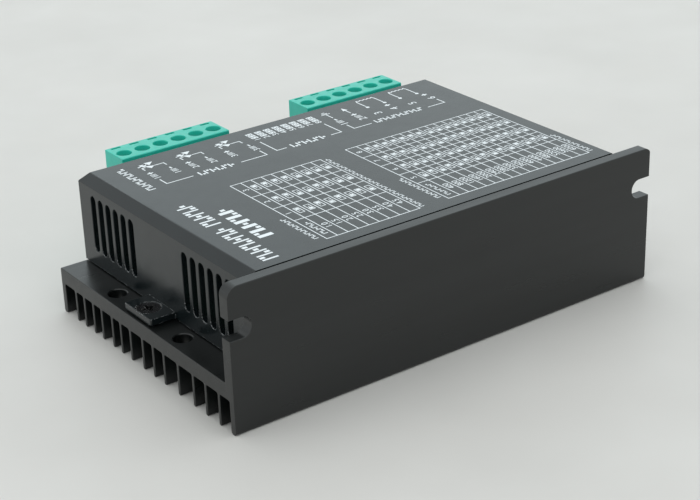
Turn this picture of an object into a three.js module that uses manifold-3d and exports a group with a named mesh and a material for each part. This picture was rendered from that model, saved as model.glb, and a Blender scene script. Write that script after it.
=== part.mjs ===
// Stepper motor driver module: a finned heat-sink extrusion with a folded sheet cover, a main board on
// spacers, two pluggable six-way terminal blocks with rising cage clamps, and an eight-way DIP switch.
// Millimetres, +Z up. Inside the model X runs along the extrusion from its left end, Y runs from the flat
// side plate towards the terminals and Z from the fin tips up. The exported group moves this to the
// module's own frame, whose origin is the bottom centre of the whole envelope.
import * as THREE from "three";
import { mergeVertices } from "three/addons/utils/BufferGeometryUtils.js";
import Module from "manifold-3d";

const wasm = await Module();
wasm.setup();

// Heat-sink extrusion
const LENGTH = 118;
const WIDTH = 75.5;
const HEIGHT = 34;
const SIDE_PLATE = 3.1; // side plate above the base plate
const SIDE_SKIRT = 1.8; // side plate below the base plate
const BASE_TOP = 11.5;
const BASE_PLATE = 2.8;
const FIN = 0.9;
const OUTER_FIN = 1.7;
const FIN_LINES = [6, 11.3, 16.3, 22.5, 28.5, 33.1, 37.7, 43.1, 47.5, 51.4, 56.3, 60.3, 64.6, 68.6];
const PLATE_CORNERS = [2.6, 1.6]; // radii of the side plate's top corners, left and right
const NOTCH_WIDTH = 4.7;
const NOTCH_DEPTH = 5.5;
const NOTCH_HEIGHT = 24.4;
const LEDGE_INSET = 3.6; // screw and hole centres from the ends of the extrusion
const LEDGE_HOLE_RADIUS = 2.2;
const LEDGE_HOLE_SPACING = 28.6;
const END_CENTRE = 40; // centre line of everything on the two ends
const OVERRUN = 1; // how far a cutting tool runs past what it cuts

// Folded cover
const SHEET = 1.6;
const GAP = 0.3; // between pieces that rest on each other
const COVER_INSET = 7;
const CHAMFER = 2.2;
const SLOT_COUNT = 6;
const SLOT_PITCH = 3.5;
const SLOT_WIDTH = 2.3;
const SLOT_BOTTOM = 15.7;
const SLOT_TOP = 29.8;
const FIRST_SLOT = 11.5; // from the end centre line
const TAB_WIDTH = 11.6;
const TAB_INSET = 0.7;
const WINDOW_PLAY = 0.4; // round what comes through the cover's side

// M3 hardware
const THREAD_RADIUS = 1.5;
const TAPPED_RADIUS = 1.7;
const CLEARANCE_RADIUS = 1.8;
const SINK_RADIUS = 2.8; // countersunk head
const SINK_DEPTH = 1.5;
const SINK_PLAY = 0.2;
const RECESS_ARM = 2.8;
const RECESS_WIDTH = 0.7;
const COVER_SCREW_RECESS = 1;
const BOARD_SCREW_RECESS = 1.1;
const PAN_RADIUS = 2.8;
const PAN_HEIGHT = 2;
const PAN_EDGE = [0.8, 0.6]; // chamfer of the pan head, across and down

// Main board
const SPACER = 3;
const SPACER_RADIUS = 3;
const BOARD_BOTTOM = BASE_TOP + SPACER + 2 * GAP;
const BOARD = 1.6;
const BOARD_TOP = BOARD_BOTTOM + BOARD;
const BOARD_X = [10, 108];
const BOARD_Y = [5.5, 73.2];
const BOARD_FIXING_X = [15, 103];
const BOARD_FIXING_Y = [10, 55];
const SEAT = BOARD_TOP + GAP; // underside of what sits on the board

// Terminal blocks
const POLES = 6;
const PITCH = 5.08;
const BLOCK = POLES * PITCH;
const BLOCK_CENTRES = { signal: 36.25, power: 90.5 };
const PLUG_Y = [79.5, 88.2];
const PLUG_Z = [17.2, 32.2];
const INSERT_Y = 72.5;
const INSERT_Z = [18.5, 26.7];
const HEADER_Y = [69.2, 79.2];
const HEADER_TOP = 28.2;
const HEADER_WALL = 1.2;
const HEADER_BACK = 3;
const PIN = 1;
const PIN_HEIGHT = 22.6;
const PIN_TIP = 77.5;
const TAIL_Y = 67.8;
const TAIL_REACH = 1; // of a soldered tail below the board
const SOCKET = 1.7;
const WIRE_Y = 83.1; // screw axes
const WELL_RADIUS = 1.87;
const THROAT_RADIUS = 1.65;
const SLIT_WIDTH = 2.5;
const SLIT_Y = [PLUG_Y[1] - 1.4, PLUG_Y[1] - 0.6];
const SLIT_DEPTH = 1.8;
const POCKET = [4.3, 4.6]; // width and depth of the clamp's space
const MOUTH_WIDTH = 3.8;
const BAR_WIDTH = 2.2;
const BAR_REACH = [WIRE_Y - 2.6, WIRE_Y + 1.9];
const CAGE = [3.9, 3.6];
const CAGE_WINDOW = 3.1;
const CAGE_BORE = 1.6;
const SCREW_RADIUS = 1.4;
const SCREW_POINT = [1.1, 0.3]; // radius of the flat end, and height of its cone
const SCREW_HEAD_RADIUS = 1.7;
const HEAD_CHAMFER = 0.2;
const HEAD_SLOT = [0.6, 0.8]; // width and depth

// Heights inside a plug, from its underside
const POCKET_FLOOR = 1.7;
const POCKET_TOP = 11;
const WELL_FLOOR = 11.5;
const BAR_BOTTOM = 6;
const BAR_TOP = 6.7;
const CAGE_BOTTOM = 2;
const CAGE_FLOOR = 2.8;
const CAGE_ROOF = 6.9;
const CAGE_TOP = 8.2;
const SCREW_END = 6.9;
const SCREW_HEAD = [11.6, 13.2];
const WIRE_MOUTH = [2.3, 6.4];

// DIP switch
const SWITCHES = 8;
const SWITCH_PITCH = 2.54;
const SWITCH_CENTRE = 63.4;
const SWITCH_BODY = SWITCHES * SWITCH_PITCH + 0.5;
const SWITCH_Y = [66.5, 75.2];
const SWITCH_TOP = 26.8;
const SLIDER_MIDDLE = 21.9;
const SLIDER_SLOT = 4.2;
const SLIDER_SLOT_WIDTH = 1.6;
const SLIDER_SLOT_DEPTH = 2.4;
const SLIDER_WIDTH = 1.2;
const SLIDER_PLAY = 0.2;
const NIB_WIDTH = 1;
const NIB_INSET = 0.3;
const NIB_FACE = WIDTH - 0.1;
const SLIDER_TRAVEL = 1.8;

// Status lamp, in the side of the cover
const LAMP_X = 13.5;
const LAMP_HEIGHT = 21;
const LAMP_RADIUS = 1.5;
const LAMP_BODY = 4.4;
const LAMP_BODY_Y = [66, 71.5];
const LAMP_FACE = WIDTH - 0.6;

// Parts soldered to the board
const CAPACITOR_RADIUS = 6.25;
const CAPACITOR_LENGTH = 25;
const CAPACITOR_NECK = [-1, 0.5]; // along X from the can's left end
const NECK_RADIUS = CAPACITOR_RADIUS - 1.2;
const CAPACITOR_X = 70;
const CAPACITOR_LINES = [30, 46];
const CHIP_AT = [42, 40];
const CHIP_SIZE = 10;
const CHIP_HEIGHTS = [0.1, 1.5];
const LEAD_REACH = 2; // across both sides, and clear of the corners
const LEAD_HEIGHT = 0.5;
const HALF_BRIDGE_X = [33, 51, 69, 87];
const HALF_BRIDGE_Y = 18;
const PAD_TOP = BASE_TOP + GAP + 0.5;
const PAD_DEPTH = 15;
const PAD_OVERHANG = 8;
const PACKAGE = [10, 9]; // half-bridge package, along X and Y
const FLANGE_OFFSET = 5.5;
const FLANGE_DEPTH = 2.4;
const FLANGE_HEIGHT = 1.2;
const LEADS_WIDTH = 8;
const PACKAGE_LIFT = 0.2;

// Facets round a circle: on what shows, and on what is small or inside
const FINE = 20;
const COARSE = 12;

// ---- manifold helpers ----

function solid(geometry) {
  const bare = geometry.index ? geometry.toNonIndexed() : geometry.clone();
  bare.deleteAttribute("normal");
  bare.deleteAttribute("uv");
  const merged = mergeVertices(bare, 1e-4);
  return new wasm.Manifold(
    new wasm.Mesh({
      numProp: 3,
      vertProperties: merged.attributes.position.array,
      triVerts: new Uint32Array(merged.index.array),
    }),
  );
}

function geometryOf(body) {
  const mesh = body.getMesh();
  const geometry = new THREE.BufferGeometry();
  geometry.setAttribute("position", new THREE.BufferAttribute(mesh.vertProperties, 3));
  geometry.setIndex(new THREE.BufferAttribute(mesh.triVerts, 1));
  geometry.computeVertexNormals();
  return geometry;
}

function join(pieces) {
  return pieces.reduce((whole, piece) => whole.add(piece));
}

function cut(body, tools) {
  return tools.reduce((left, tool) => left.subtract(tool), body);
}

// ---- plain solids, placed by their limits or their centre ----

function box([x0, x1], [y0, y1], [z0, z1]) {
  const geometry = new THREE.BoxGeometry(x1 - x0, y1 - y0, z1 - z0);
  geometry.translate((x0 + x1) / 2, (y0 + y1) / 2, (z0 + z1) / 2);
  return solid(geometry);
}

function around(centre, size) {
  return [centre - size / 2, centre + size / 2];
}

// A solid turned about a vertical axis, from (radius, height) pairs read from the bottom up.
function turned(x, y, profile, facets = COARSE) {
  const points = profile.map(([radius, height]) => new THREE.Vector2(radius, height));
  const geometry = new THREE.LatheGeometry(points, facets);
  geometry.rotateX(Math.PI / 2);
  geometry.translate(x, y, 0);
  return solid(geometry);
}

function rod(x, y, radius, [z0, z1], facets = COARSE) {
  return turned(x, y, [[0, z0], [radius, z0], [radius, z1], [0, z1]], facets);
}

// A rod along X or Y.
function barAlongX([x0, x1], y, z, radius, facets) {
  const geometry = new THREE.CylinderGeometry(radius, radius, x1 - x0, facets);
  geometry.rotateZ(Math.PI / 2);
  geometry.translate((x0 + x1) / 2, y, z);
  return solid(geometry);
}

function barAlongY(x, [y0, y1], z, radius, facets) {
  const geometry = new THREE.CylinderGeometry(radius, radius, y1 - y0, facets);
  geometry.translate(x, (y0 + y1) / 2, z);
  return solid(geometry);
}

// A profile of (y, z) points carried along X, and a profile of (x, z) points carried along Y.
function extrudeX(points, [x0, x1]) {
  const shape = new THREE.Shape(points.map(([y, z]) => new THREE.Vector2(y, z)));
  const geometry = new THREE.ExtrudeGeometry(shape, { depth: x1 - x0, bevelEnabled: false });
  geometry.applyMatrix4(new THREE.Matrix4().set(0, 0, 1, x0, 1, 0, 0, 0, 0, 1, 0, 0, 0, 0, 0, 1));
  return solid(geometry);
}

function extrudeY(points, [y0, y1]) {
  const shape = new THREE.Shape(points.map(([x, z]) => new THREE.Vector2(x, -z)));
  const geometry = new THREE.ExtrudeGeometry(shape, { depth: y1 - y0, bevelEnabled: false });
  geometry.applyMatrix4(new THREE.Matrix4().set(1, 0, 0, 0, 0, 0, 1, y0, 0, -1, 0, 0, 0, 0, 0, 1));
  return solid(geometry);
}

// ---- heat-sink base ----

const THROUGH_PLATE = [-OVERRUN, SIDE_PLATE + OVERRUN];
const THROUGH_BASE = [BASE_TOP - BASE_PLATE - OVERRUN, BASE_TOP + OVERRUN];

function sinkProfile() {
  const plateBottom = BASE_TOP - BASE_PLATE;
  const fins = FIN_LINES.flatMap((line) => [
    [line - FIN / 2, plateBottom],
    [line - FIN / 2, 0],
    [line + FIN / 2, 0],
    [line + FIN / 2, plateBottom],
  ]);
  return [
    [0, 0],
    [SIDE_SKIRT, 0],
    [SIDE_SKIRT, plateBottom],
    ...fins,
    [WIDTH - OUTER_FIN, plateBottom],
    [WIDTH - OUTER_FIN, 0],
    [WIDTH, 0],
    [WIDTH, BASE_TOP],
    [SIDE_PLATE, BASE_TOP],
    [SIDE_PLATE, HEIGHT],
    [0, HEIGHT],
  ];
}

// What is milled off one top corner of the side plate to leave a radius.
function cornerWaste(end, inward, radius) {
  const middle = end + inward * radius;
  const outside = end - inward * OVERRUN;
  const low = HEIGHT - radius;
  const reach = [Math.min(middle, outside), Math.max(middle, outside)];
  const block = box(reach, THROUGH_PLATE, [low, HEIGHT + OVERRUN]);
  const depth = [THROUGH_PLATE[0] - OVERRUN, THROUGH_PLATE[1] + OVERRUN];
  return block.subtract(barAlongY(middle, depth, low, radius, 2 * FINE));
}

// Open-ended mounting slot in the side plate.
function notch(end, inward) {
  const radius = NOTCH_WIDTH / 2;
  const middle = end + inward * (NOTCH_DEPTH - radius);
  const outside = end - inward * OVERRUN;
  const mouth = [Math.min(middle, outside), Math.max(middle, outside)];
  return box(mouth, THROUGH_PLATE, around(NOTCH_HEIGHT, NOTCH_WIDTH)).add(
    barAlongY(middle, THROUGH_PLATE, NOTCH_HEIGHT, radius, FINE),
  );
}

function ledgeHoles(x) {
  return [
    rod(x, END_CENTRE - LEDGE_HOLE_SPACING / 2, LEDGE_HOLE_RADIUS, THROUGH_BASE, FINE),
    rod(x, END_CENTRE, TAPPED_RADIUS, THROUGH_BASE),
    rod(x, END_CENTRE + LEDGE_HOLE_SPACING / 2, LEDGE_HOLE_RADIUS, THROUGH_BASE, FINE),
  ];
}

function boardFixings() {
  return BOARD_FIXING_X.flatMap((x) => BOARD_FIXING_Y.map((y) => [x, y]));
}

function heatSink() {
  return cut(extrudeX(sinkProfile(), [0, LENGTH]), [
    cornerWaste(0, 1, PLATE_CORNERS[0]),
    cornerWaste(LENGTH, -1, PLATE_CORNERS[1]),
    notch(0, 1),
    notch(LENGTH, -1),
    ...ledgeHoles(LEDGE_INSET),
    ...ledgeHoles(LENGTH - LEDGE_INSET),
    ...boardFixings().map(([x, y]) => rod(x, y, TAPPED_RADIUS, THROUGH_BASE)),
  ]);
}

// ---- cover ----

// The cover's outer form, or its inside when inset by the sheet: a block chamfered on its three folds.
function coverForm(inset, bottom, back) {
  const left = COVER_INSET + inset;
  const right = LENGTH - COVER_INSET - inset;
  const front = WIDTH - inset;
  const top = HEIGHT - inset;
  const fold = top - CHAMFER;
  const ends = [
    [left, bottom],
    [right, bottom],
    [right, fold],
    [right - CHAMFER, top],
    [left + CHAMFER, top],
    [left, fold],
  ];
  const side = [
    [back, bottom],
    [front, bottom],
    [front, fold],
    [front - CHAMFER, top],
    [back, top],
  ];
  return extrudeY(ends.reverse(), [back, front]).intersect(extrudeX(side, [left, right]));
}

function ventSlot(y, reach) {
  const radius = SLOT_WIDTH / 2;
  return join([
    box(reach, around(y, SLOT_WIDTH), [SLOT_BOTTOM + radius, SLOT_TOP - radius]),
    barAlongX(reach, y, SLOT_BOTTOM + radius, radius, COARSE),
    barAlongX(reach, y, SLOT_TOP - radius, radius, COARSE),
  ]);
}

function endVents(reach) {
  const slots = [];
  for (let i = 0; i < SLOT_COUNT; i++) {
    const offset = FIRST_SLOT + i * SLOT_PITCH;
    slots.push(ventSlot(END_CENTRE - offset, reach), ventSlot(END_CENTRE + offset, reach));
  }
  return slots;
}

function screwTab(x0, x1) {
  return box([x0, x1], around(END_CENTRE, TAB_WIDTH), [BASE_TOP + GAP, BASE_TOP + GAP + SHEET]);
}

function countersink(x) {
  const top = BASE_TOP + GAP + SHEET;
  return turned(x, END_CENTRE, [
    [0, top - SHEET - OVERRUN],
    [CLEARANCE_RADIUS, top - SHEET - OVERRUN],
    [CLEARANCE_RADIUS, top - SINK_DEPTH + SINK_PLAY],
    [SINK_RADIUS + SINK_PLAY, top],
    [SINK_RADIUS + SINK_PLAY, top + OVERRUN],
    [0, top + OVERRUN],
  ]);
}

function cover() {
  const bottom = BASE_TOP + GAP;
  const back = SIDE_PLATE + GAP;
  const shell = coverForm(0, bottom, back).subtract(coverForm(SHEET, bottom - OVERRUN, back - OVERRUN));
  const wall = [WIDTH - SHEET - OVERRUN, WIDTH + OVERRUN];
  const blockWindow = BLOCK + 2 * WINDOW_PLAY;
  const switchWindow = SWITCH_BODY + 2 * WINDOW_PLAY;
  const left = [COVER_INSET - OVERRUN, COVER_INSET + SHEET + OVERRUN];
  const right = [LENGTH - left[1], LENGTH - left[0]];
  const windowBottom = BOARD_TOP - WINDOW_PLAY;
  const blockHeights = [windowBottom, HEADER_TOP + WINDOW_PLAY];
  const tabs = [
    screwTab(TAB_INSET, COVER_INSET + SHEET / 2),
    screwTab(LENGTH - COVER_INSET - SHEET / 2, LENGTH - TAB_INSET),
  ];
  return cut(join([shell, ...tabs]), [
    ...endVents(left),
    ...endVents(right),
    countersink(LEDGE_INSET),
    countersink(LENGTH - LEDGE_INSET),
    box(around(BLOCK_CENTRES.signal, blockWindow), wall, blockHeights),
    box(around(BLOCK_CENTRES.power, blockWindow), wall, blockHeights),
    box(around(SWITCH_CENTRE, switchWindow), wall, [windowBottom, SWITCH_TOP + WINDOW_PLAY]),
    barAlongY(LAMP_X, wall, LAMP_HEIGHT, LAMP_RADIUS + GAP, COARSE),
  ]);
}

// ---- screws and spacers ----

function crossRecess(x, y, top, depth) {
  const heights = [top - depth, top + OVERRUN];
  return box(around(x, RECESS_ARM), around(y, RECESS_WIDTH), heights).add(
    box(around(x, RECESS_WIDTH), around(y, RECESS_ARM), heights),
  );
}

function coverScrew(x) {
  const top = BASE_TOP + GAP + SHEET - SINK_PLAY / 2;
  const bottom = BASE_TOP - BASE_PLATE;
  return turned(x, END_CENTRE, [
    [0, bottom],
    [THREAD_RADIUS, bottom],
    [THREAD_RADIUS, top - SINK_DEPTH],
    [SINK_RADIUS, top],
    [0, top],
  ]).subtract(crossRecess(x, END_CENTRE, top, COVER_SCREW_RECESS));
}

function boardScrew(x, y) {
  const seat = BOARD_TOP + GAP;
  return turned(x, y, [
    [0, BASE_TOP - BASE_PLATE],
    [THREAD_RADIUS, BASE_TOP - BASE_PLATE],
    [THREAD_RADIUS, seat],
    [PAN_RADIUS, seat],
    [PAN_RADIUS, seat + PAN_HEIGHT - PAN_EDGE[1]],
    [PAN_RADIUS - PAN_EDGE[0], seat + PAN_HEIGHT],
    [0, seat + PAN_HEIGHT],
  ]).subtract(crossRecess(x, y, seat + PAN_HEIGHT, BOARD_SCREW_RECESS));
}

function spacer(x, y) {
  const [low, high] = [BASE_TOP + GAP, BASE_TOP + GAP + SPACER];
  const bore = rod(x, y, CLEARANCE_RADIUS, [low - OVERRUN, high + OVERRUN]);
  return rod(x, y, SPACER_RADIUS, [low, high]).subtract(bore);
}

// ---- main board and what is soldered to it ----

function poleX(centre, i) {
  return centre + (i - (POLES - 1) / 2) * PITCH;
}

function mainBoard() {
  const through = [BOARD_BOTTOM - OVERRUN, BOARD_TOP + OVERRUN];
  const tails = Object.values(BLOCK_CENTRES).flatMap((centre) =>
    Array.from({ length: POLES }, (_, i) =>
      box(around(poleX(centre, i), PIN + 2 * GAP), around(TAIL_Y, PIN + 2 * GAP), through),
    ),
  );
  return cut(box(BOARD_X, BOARD_Y, [BOARD_BOTTOM, BOARD_TOP]), [
    ...boardFixings().map(([x, y]) => rod(x, y, CLEARANCE_RADIUS, through)),
    ...tails,
  ]);
}

function headerPin(x) {
  const low = PIN_HEIGHT - PIN / 2;
  return box(around(x, PIN), [TAIL_Y - PIN / 2, PIN_TIP], around(PIN_HEIGHT, PIN)).add(
    box(around(x, PIN), around(TAIL_Y, PIN), [BOARD_BOTTOM - TAIL_REACH, low + PIN]),
  );
}

function header(centre) {
  const span = around(centre, BLOCK);
  const channel = box(
    [span[0] - OVERRUN, span[1] + OVERRUN],
    [HEADER_Y[0] + HEADER_BACK, HEADER_Y[1] + OVERRUN],
    [SEAT + HEADER_WALL, HEADER_TOP - HEADER_WALL],
  );
  const housing = box(span, HEADER_Y, [SEAT, HEADER_TOP]).subtract(channel);
  return join([housing, ...Array.from({ length: POLES }, (_, i) => headerPin(poleX(centre, i)))]);
}

// A block on the board with a round lens that reaches the cover's side.
function statusLamp() {
  return join([
    box(around(LAMP_X, LAMP_BODY), LAMP_BODY_Y, [SEAT, LAMP_HEIGHT + LAMP_BODY / 2]),
    barAlongY(LAMP_X, [LAMP_BODY_Y[1] - 0.5, LAMP_FACE], LAMP_HEIGHT, LAMP_RADIUS, COARSE),
  ]);
}

// Lies on the board, with its crimped neck to the left.
function capacitor(y) {
  const middle = SEAT + CAPACITOR_RADIUS;
  const reach = [CAPACITOR_X, CAPACITOR_X + CAPACITOR_LENGTH];
  const can = barAlongX(reach, y, middle, CAPACITOR_RADIUS, FINE);
  const neck = barAlongX(CAPACITOR_NECK.map((at) => CAPACITOR_X + at), y, middle, NECK_RADIUS, FINE);
  return can.add(neck);
}

// A flat square package with its leads out on all four sides.
function microcontroller() {
  const [x, y] = CHIP_AT;
  const short = CHIP_SIZE - LEAD_REACH;
  const long = CHIP_SIZE + LEAD_REACH;
  const leads = [SEAT, SEAT + LEAD_HEIGHT];
  return join([
    box(around(x, CHIP_SIZE), around(y, CHIP_SIZE), CHIP_HEIGHTS.map((height) => SEAT + height)),
    box(around(x, long), around(y, short), leads),
    box(around(x, short), around(y, long), leads),
  ]);
}

function thermalPad() {
  const ends = [HALF_BRIDGE_X[0] - PAD_OVERHANG, HALF_BRIDGE_X.at(-1) + PAD_OVERHANG];
  return box(ends, around(HALF_BRIDGE_Y, PAD_DEPTH), [BASE_TOP + GAP, PAD_TOP]);
}

function halfBridge(x) {
  const [low, high] = [PAD_TOP + PACKAGE_LIFT, BOARD_BOTTOM - GAP];
  const step = low + FLANGE_HEIGHT;
  return join([
    box(around(x, PACKAGE[0]), around(HALF_BRIDGE_Y, PACKAGE[1]), [low, high]),
    box(around(x, PACKAGE[0]), around(HALF_BRIDGE_Y - FLANGE_OFFSET, FLANGE_DEPTH), [low, step]),
    box(around(x, LEADS_WIDTH), around(HALF_BRIDGE_Y + FLANGE_OFFSET, FLANGE_DEPTH), [step, high]),
  ]);
}

// ---- DIP switch ----

function switchX(i) {
  return SWITCH_CENTRE + (i - (SWITCHES - 1) / 2) * SWITCH_PITCH;
}

function dipSwitch() {
  const body = box(around(SWITCH_CENTRE, SWITCH_BODY), SWITCH_Y, [SEAT, SWITCH_TOP]);
  const depth = [SWITCH_Y[1] - SLIDER_SLOT_DEPTH, SWITCH_Y[1] + OVERRUN];
  const heights = around(SLIDER_MIDDLE, SLIDER_SLOT);
  const slots = Array.from({ length: SWITCHES }, (_, i) =>
    box(around(switchX(i), SLIDER_SLOT_WIDTH), depth, heights),
  );
  return cut(body, slots);
}

// At rest every slider is at the low end of its slot.
function dipSlider(i) {
  const low = SLIDER_MIDDLE - SLIDER_SLOT / 2 + SLIDER_PLAY;
  const high = low + SLIDER_SLOT - SLIDER_TRAVEL - 2 * SLIDER_PLAY;
  const back = SWITCH_Y[1] - SLIDER_SLOT_DEPTH + SLIDER_PLAY;
  const front = SWITCH_Y[1] - NIB_INSET;
  const foot = box(around(switchX(i), SLIDER_WIDTH), [back, front], [low, high]);
  const nib = box(
    around(switchX(i), NIB_WIDTH),
    [front - SLIDER_PLAY, NIB_FACE],
    [low + NIB_INSET, high - NIB_INSET],
  );
  return foot.add(nib);
}

// ---- terminal plugs ----

function plugPole(x) {
  const at = (height) => PLUG_Z[0] + height;
  const pocket = box(around(x, POCKET[0]), around(WIRE_Y, POCKET[1]), [at(POCKET_FLOOR), at(POCKET_TOP)]);
  const bar = box(around(x, BAR_WIDTH), BAR_REACH, [at(BAR_BOTTOM), at(BAR_TOP)]);
  const above = PLUG_Z[1] + OVERRUN;
  return [
    pocket.subtract(bar),
    rod(x, WIRE_Y, THROAT_RADIUS, [at(POCKET_TOP) - 0.5, at(WELL_FLOOR) + 0.5]),
    rod(x, WIRE_Y, WELL_RADIUS, [at(WELL_FLOOR), above], FINE),
    box(around(x, MOUTH_WIDTH), [WIRE_Y + 2, PLUG_Y[1] + OVERRUN], WIRE_MOUTH.map(at)),
    box(around(x, SOCKET), [INSERT_Y - OVERRUN, PIN_TIP + 0.6], around(PIN_HEIGHT, SOCKET)),
    box(around(x, SLIT_WIDTH), SLIT_Y, [PLUG_Z[1] - SLIT_DEPTH, above]),
  ];
}

function plug(centre) {
  const span = around(centre, BLOCK);
  const housing = box(span, PLUG_Y, PLUG_Z);
  const insert = box(span, [INSERT_Y, PLUG_Y[0] + OVERRUN], INSERT_Z);
  const poles = Array.from({ length: POLES }, (_, i) => plugPole(poleX(centre, i))).flat();
  return cut(housing.add(insert), poles);
}

function wireScrew(x) {
  const at = (height) => PLUG_Z[0] + height;
  const head = SCREW_HEAD.map(at);
  return turned(x, WIRE_Y, [
    [0, at(SCREW_END)],
    [SCREW_POINT[0], at(SCREW_END)],
    [SCREW_RADIUS, at(SCREW_END) + SCREW_POINT[1]],
    [SCREW_RADIUS, head[0]],
    [SCREW_HEAD_RADIUS, head[0]],
    [SCREW_HEAD_RADIUS, head[1] - HEAD_CHAMFER],
    [SCREW_HEAD_RADIUS - HEAD_CHAMFER, head[1]],
    [0, head[1]],
  ]).subtract(
    box(
      around(x, 2 * SCREW_HEAD_RADIUS + OVERRUN),
      around(WIRE_Y, HEAD_SLOT[0]),
      [head[1] - HEAD_SLOT[1], head[1] + OVERRUN],
    ),
  );
}

function cageClamp(x) {
  const at = (height) => PLUG_Z[0] + height;
  const block = box(around(x, CAGE[0]), around(WIRE_Y, CAGE[1]), [at(CAGE_BOTTOM), at(CAGE_TOP)]);
  return cut(block, [
    box(around(x, CAGE_WINDOW), around(WIRE_Y, CAGE[1] + 2 * OVERRUN), [at(CAGE_FLOOR), at(CAGE_ROOF)]),
    rod(x, WIRE_Y, CAGE_BORE, [at(CAGE_ROOF) - 0.5, at(CAGE_TOP) + OVERRUN]),
  ]);
}

// ---- assembly ----

const FINISH = {
  anodised: { color: 0x17191a, roughness: 0.5, metalness: 0.6 },
  paint: { color: 0x1d2022, roughness: 0.45, metalness: 0.1 },
  blackSteel: { color: 0x141516, roughness: 0.35, metalness: 0.8 },
  zinc: { color: 0xb9bcc0, roughness: 0.3, metalness: 1 },
  nylon: { color: 0xe6e3d6, roughness: 0.6, metalness: 0 },
  board: { color: 0x14532d, roughness: 0.45, metalness: 0 },
  terminal: { color: 0x19a37e, roughness: 0.45, metalness: 0 },
  switchRed: { color: 0xb3221f, roughness: 0.4, metalness: 0 },
  white: { color: 0xf2f2ee, roughness: 0.45, metalness: 0 },
  lamp: { color: 0x3ecf5a, roughness: 0.15, metalness: 0 },
  sleeve: { color: 0x1b1f33, roughness: 0.35, metalness: 0 },
  epoxy: { color: 0x17181a, roughness: 0.6, metalness: 0 },
  silicone: { color: 0x8f9aa3, roughness: 0.8, metalness: 0 },
};

const driver = new THREE.Group();

function addPart(name, body, finish) {
  const mesh = new THREE.Mesh(geometryOf(body), new THREE.MeshStandardMaterial(FINISH[finish]));
  mesh.name = name;
  driver.add(mesh);
}

addPart("heatsink_base", heatSink(), "anodised");
addPart("cover", cover(), "paint");
addPart("cover_screw_left", coverScrew(LEDGE_INSET), "blackSteel");
addPart("cover_screw_right", coverScrew(LENGTH - LEDGE_INSET), "blackSteel");

addPart("main_board", mainBoard(), "board");
boardFixings().forEach(([x, y], i) => {
  addPart(`board_spacer_${i + 1}`, spacer(x, y), "nylon");
  addPart(`board_screw_${i + 1}`, boardScrew(x, y), "zinc");
});
addPart("status_lamp", statusLamp(), "lamp");
addPart("microcontroller", microcontroller(), "epoxy");
CAPACITOR_LINES.forEach((y, i) => addPart(`bulk_capacitor_${i + 1}`, capacitor(y), "sleeve"));
addPart("thermal_pad", thermalPad(), "silicone");
HALF_BRIDGE_X.forEach((x, i) => addPart(`half_bridge_${i + 1}`, halfBridge(x), "epoxy"));

addPart("dip_switch_body", dipSwitch(), "switchRed");
for (let i = 0; i < SWITCHES; i++) addPart(`dip_slider_${i + 1}`, dipSlider(i), "white");

for (const [side, centre] of Object.entries(BLOCK_CENTRES)) {
  addPart(`${side}_header`, header(centre), "terminal");
  addPart(`${side}_plug`, plug(centre), "terminal");
  for (let i = 0; i < POLES; i++) {
    addPart(`${side}_screw_${i + 1}`, wireScrew(poleX(centre, i)), "zinc");
    addPart(`${side}_clamp_${i + 1}`, cageClamp(poleX(centre, i)), "zinc");
  }
}

driver.position.set(-LENGTH / 2, -PLUG_Y[1] / 2, 0);

export default driver;
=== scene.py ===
import math

import bmesh
import bpy
from mathutils import Matrix, Vector


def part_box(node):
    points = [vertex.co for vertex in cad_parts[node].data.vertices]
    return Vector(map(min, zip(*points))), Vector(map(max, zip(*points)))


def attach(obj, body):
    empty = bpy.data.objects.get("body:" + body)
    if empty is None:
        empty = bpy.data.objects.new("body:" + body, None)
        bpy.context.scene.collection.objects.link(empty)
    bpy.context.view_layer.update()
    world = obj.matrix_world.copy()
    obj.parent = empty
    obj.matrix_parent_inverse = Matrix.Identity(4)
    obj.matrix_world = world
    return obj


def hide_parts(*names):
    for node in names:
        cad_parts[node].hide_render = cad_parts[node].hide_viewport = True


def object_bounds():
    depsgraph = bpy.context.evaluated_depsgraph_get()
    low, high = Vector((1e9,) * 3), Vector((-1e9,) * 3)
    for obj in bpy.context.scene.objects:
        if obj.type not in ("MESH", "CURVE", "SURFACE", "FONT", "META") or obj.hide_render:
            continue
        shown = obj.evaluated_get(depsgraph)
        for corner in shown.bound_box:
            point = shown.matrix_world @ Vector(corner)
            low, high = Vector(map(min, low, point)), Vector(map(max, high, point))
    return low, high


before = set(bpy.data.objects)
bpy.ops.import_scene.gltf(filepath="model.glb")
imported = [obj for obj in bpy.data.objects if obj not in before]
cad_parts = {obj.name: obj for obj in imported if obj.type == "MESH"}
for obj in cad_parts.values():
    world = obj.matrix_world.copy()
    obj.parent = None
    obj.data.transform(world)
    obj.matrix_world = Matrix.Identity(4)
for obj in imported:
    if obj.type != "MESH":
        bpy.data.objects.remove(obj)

scene = bpy.context.scene
CAD_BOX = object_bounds()
MM = 0.001
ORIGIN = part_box("heatsink_base")[0]
X, Y, Z = 0, 1, 2


def limits(node):
    """A CAD node's box: its (low, high) along X, Y and Z."""
    low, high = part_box(node)
    return [tuple((corner[k] - ORIGIN[k]) / MM for corner in (low, high)) for k in range(3)]


def middle(pair):
    return (pair[0] + pair[1]) / 2


def around(centre, size):
    """The (low, high) pair of this size about a centre."""
    return centre - size / 2, centre + size / 2


def levels(node, axis, keep):
    """The sorted coordinates, along one axis, of a CAD node's vertices that keep() accepts."""
    found = set()
    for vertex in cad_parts[node].data.vertices:
        at = (vertex.co - ORIGIN) / MM
        if keep(at):
            found.add(round(at[axis], 3))
    return sorted(found)


# ---- sizes read from the CAD, with its gap and sheet thickness ----

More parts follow.
